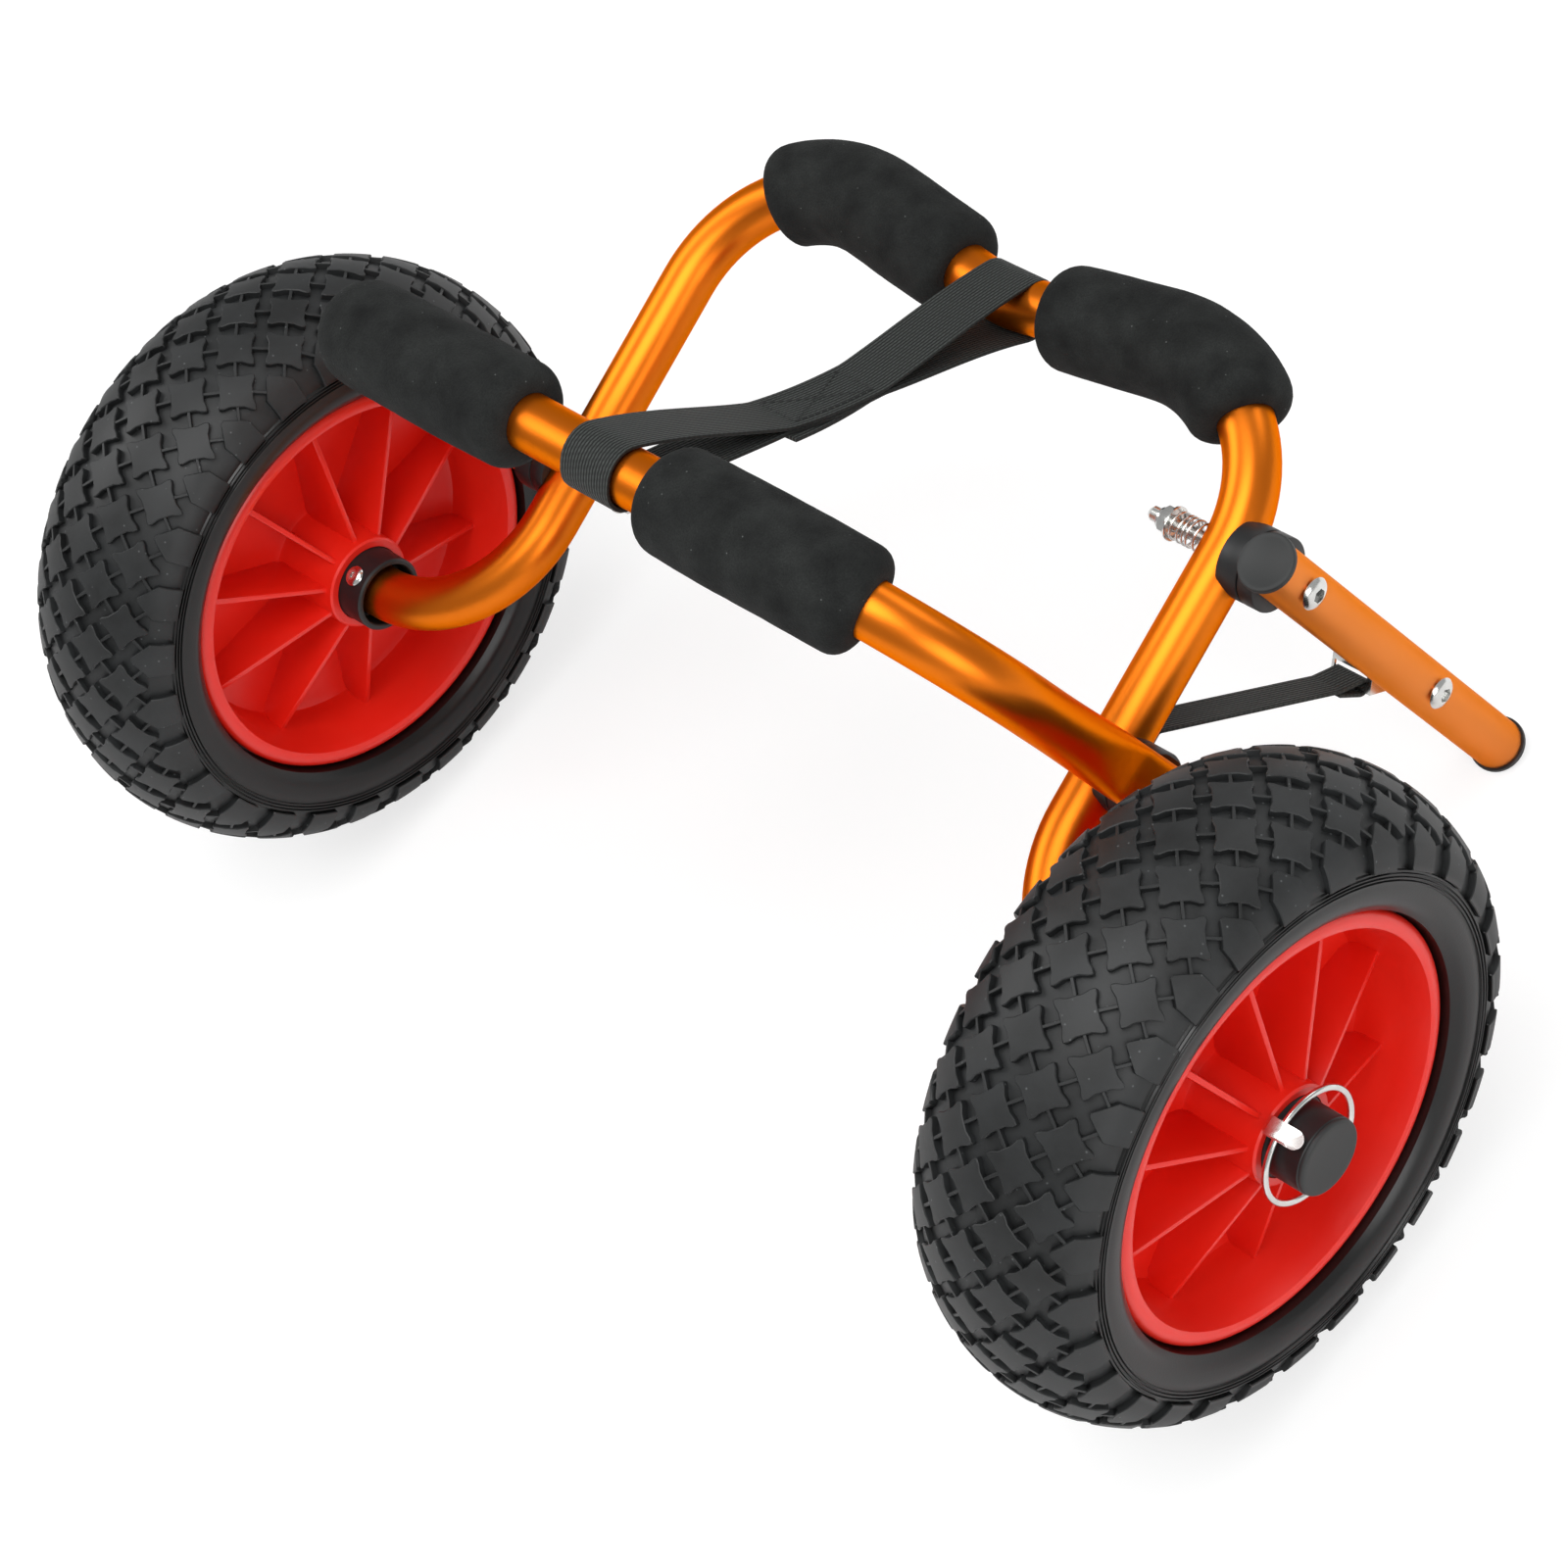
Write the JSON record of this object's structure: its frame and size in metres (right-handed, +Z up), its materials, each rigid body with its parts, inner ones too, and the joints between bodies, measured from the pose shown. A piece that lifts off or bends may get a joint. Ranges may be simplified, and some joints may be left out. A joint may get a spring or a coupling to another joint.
{
  "type": "kayak cart",
  "caption": "Folding two-wheel boat trolley: two hinged bent-tube frames with foam hull pads, a webbing strap, a swing-out kickstand and ribbed wheels on pinned axle stubs.",
  "frame": {"origin": "floor point below the middle of the whole cart, standing on both wheels and its kickstand", "axes": "+Z up, +X along the axle towards the wheel beside the kickstand, +Y to the back, where the kickstand stands"},
  "size_m": [0.6106, 0.364, 0.3326],
  "materials": {
    "orange_anodised": "orange anodised, satin",
    "stand_anodised": "paler orange anodised, satin",
    "black_plastic": "moulded, fine grain",
    "foam": "closed-cell foam, matt",
    "webbing": "ribbed webbing",
    "tyre_rubber": "matt moulded tread, smooth sidewall",
    "red_plastic": "moulded, satin gloss",
    "zinc_steel": "bright zinc plated"
  },
  "bodies": {
    "axle_frame": {"axle_frame_tube": "orange_anodised", "centre_strap": "webbing", "stay_strap": "webbing", "stay_rivet": "zinc_steel", "stand_leg_saddle": "black_plastic", "stand_spring": "zinc_steel", "stand_washer": "zinc_steel", "stand_nut": "zinc_steel", "stand_bolt": "zinc_steel", "rear_pad_left": "foam", "axle_sleeve_left": "black_plastic", "sleeve_cap_left": "black_plastic", "sleeve_rivet_left": "zinc_steel", "pivot_leg_saddle_left": "black_plastic", "pivot_spring_left": "zinc_steel", "pivot_washer_left": "zinc_steel", "pivot_nut_left": "zinc_steel", "pivot_bolt_left": "zinc_steel", "rear_pad_right": "foam", "axle_sleeve_right": "black_plastic", "sleeve_cap_right": "black_plastic", "sleeve_rivet_right": "zinc_steel", "pivot_leg_saddle_right": "black_plastic", "pivot_spring_right": "zinc_steel", "pivot_washer_right": "zinc_steel", "pivot_nut_right": "zinc_steel", "pivot_bolt_right": "zinc_steel"},
    "swing_frame": {"swing_frame_tube": "orange_anodised", "front_pad_left": "foam", "front_pad_right": "foam", "pivot_frame_saddle_left": "black_plastic", "pivot_frame_saddle_right": "black_plastic"},
    "kickstand": {"kickstand_tube": "stand_anodised", "kickstand_top_cap": "black_plastic", "kickstand_foot_cap": "black_plastic", "stand_tube_saddle": "black_plastic", "bracket_bolt": "zinc_steel", "bracket_nut": "zinc_steel", "strap_bracket": "zinc_steel"},
    "wheel_left": {"rim_left": "red_plastic", "tyre_left": "tyre_rubber"},
    "wheel_right": {"rim_right": "red_plastic", "tyre_right": "tyre_rubber"},
    "lock_pin_left": {"lock_pin_left": "zinc_steel"},
    "lock_pin_right": {"lock_pin_right": "zinc_steel"},
    "pin_ring_left": {"pin_ring_left": "zinc_steel"},
    "pin_ring_right": {"pin_ring_right": "zinc_steel"}
  },
  "joints": [
    {"name": "frame_fold", "type": "hinge", "parent": "axle_frame", "child": "swing_frame", "pos_m": [0, 0.02237, 0.15613], "axis": [-1, 0, 0], "range_deg": [0, 65], "deforming": ["centre_strap"]},
    {"name": "kickstand_swing", "type": "hinge", "parent": "axle_frame", "child": "kickstand", "pos_m": [0.175, 0.10671, 0.18755], "axis": [-1, 0, 0], "range_deg": [0, 66], "deforming": ["stay_strap"]},
    {"name": "wheel_spin_left", "type": "hinge", "parent": "axle_frame", "child": "wheel_left", "pos_m": [-0.2515, -0.05447, 0.1275], "axis": [1, 0, 0], "continuous": true},
    {"name": "wheel_spin_right", "type": "hinge", "parent": "axle_frame", "child": "wheel_right", "pos_m": [0.2515, -0.05447, 0.1275], "axis": [1, 0, 0], "continuous": true},
    {"name": "pin_slide_left", "type": "slide", "parent": "axle_frame", "child": "lock_pin_left", "axis": [0, -0.3491, 0.9371], "range_m": [0, 0.009]},
    {"name": "ring_flip_left", "type": "hinge", "parent": "lock_pin_left", "child": "pin_ring_left", "pos_m": [-0.2925, -0.06065, 0.14409], "axis": [0, 0.9371, 0.3491], "range_deg": [0, 100]},
    {"name": "pin_slide_right", "type": "slide", "parent": "axle_frame", "child": "lock_pin_right", "axis": [0, -0.3491, 0.9371], "range_m": [0, 0.009]},
    {"name": "ring_flip_right", "type": "hinge", "parent": "lock_pin_right", "child": "pin_ring_right", "pos_m": [0.2925, -0.06065, 0.14409], "axis": [0, -0.9371, -0.3491], "range_deg": [0, 100]}
  ]
}
